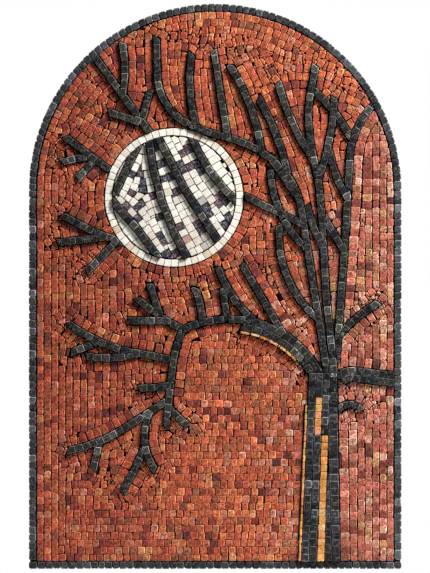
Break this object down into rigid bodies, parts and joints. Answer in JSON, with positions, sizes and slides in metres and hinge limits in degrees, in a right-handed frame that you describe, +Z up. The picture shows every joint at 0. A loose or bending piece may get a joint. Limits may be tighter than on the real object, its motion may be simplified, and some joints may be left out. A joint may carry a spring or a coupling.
{
  "type": "mosaic panel",
  "caption": "Arched wall mosaic of cut stone tesserae on a mesh sheet: a bare black tree in relief before a white full moon, on a red field, with a black border.",
  "frame": {"origin": "centre of the back face, halfway up the panel", "axes": "+Z up the panel, +X to the right as seen from the front, the face looks along -Y and the back along +Y"},
  "size_m": [0.508, 0.017, 0.77],
  "materials": {
    "black_stone": "honed black marble, chipped pale along the edges",
    "red_stone": "tumbled red marble, from orange to maroon",
    "white_stone": "honed ivory marble with plum and slate pieces among it",
    "gold_stone": "honed gold-yellow marble",
    "adhesive_mesh": "grey adhesive over glass-fibre mesh"
  },
  "bodies": {
    "root": {"backing_sheet": "adhesive_mesh", "border_foot": "black_stone", "border_left": "black_stone", "border_right": "black_stone", "border_arch": "black_stone", "trunk_black_left": "black_stone", "trunk_black_inner": "black_stone", "trunk_gold_upper": "gold_stone", "trunk_black_fork": "black_stone", "trunk_gold_lower": "gold_stone", "trunk_black_middle": "black_stone", "trunk_black_flare": "black_stone", "trunk_black_right": "black_stone", "trunk_gold_edge": "gold_stone", "great_bough": "black_stone", "great_bough_second_row": "black_stone", "middle_bough": "black_stone", "inner_bough": "black_stone", "right_bough_1": "black_stone", "right_bough_2": "black_stone", "side_bough": "black_stone", "side_bough_second_row": "black_stone", "hook_twig": "black_stone", "drooping_bough": "black_stone", "knee_spray": "black_stone", "drooping_upper_spray": "black_stone", "drooping_lower_spray": "black_stone", "low_spray": "black_stone", "left_spray": "black_stone", "left_high_spray": "black_stone", "arch_spray": "black_stone", "bough_gold_edge": "gold_stone", "moon_branch_1": "black_stone", "moon_branch_2": "black_stone", "moon_branch_3": "black_stone", "moon_branch_4": "black_stone", "moon_branch_5": "black_stone", "red_field_1": "red_stone", "red_field_2": "red_stone", "red_field_3": "red_stone", "red_field_4": "red_stone", "red_field_5": "red_stone", "red_field_6": "red_stone", "red_field_7": "red_stone", "red_field_8": "red_stone", "red_field_9": "red_stone", "red_field_10": "red_stone", "red_field_11": "red_stone", "red_field_12": "red_stone", "red_field_13": "red_stone", "red_field_14": "red_stone", "moon_rim": "white_stone", "moon_field_1": "white_stone", "moon_field_2": "white_stone", "moon_field_3": "white_stone", "moon_field_4": "white_stone", "moon_field_5": "white_stone", "moon_field_6": "white_stone"}
  },
  "joints": []
}
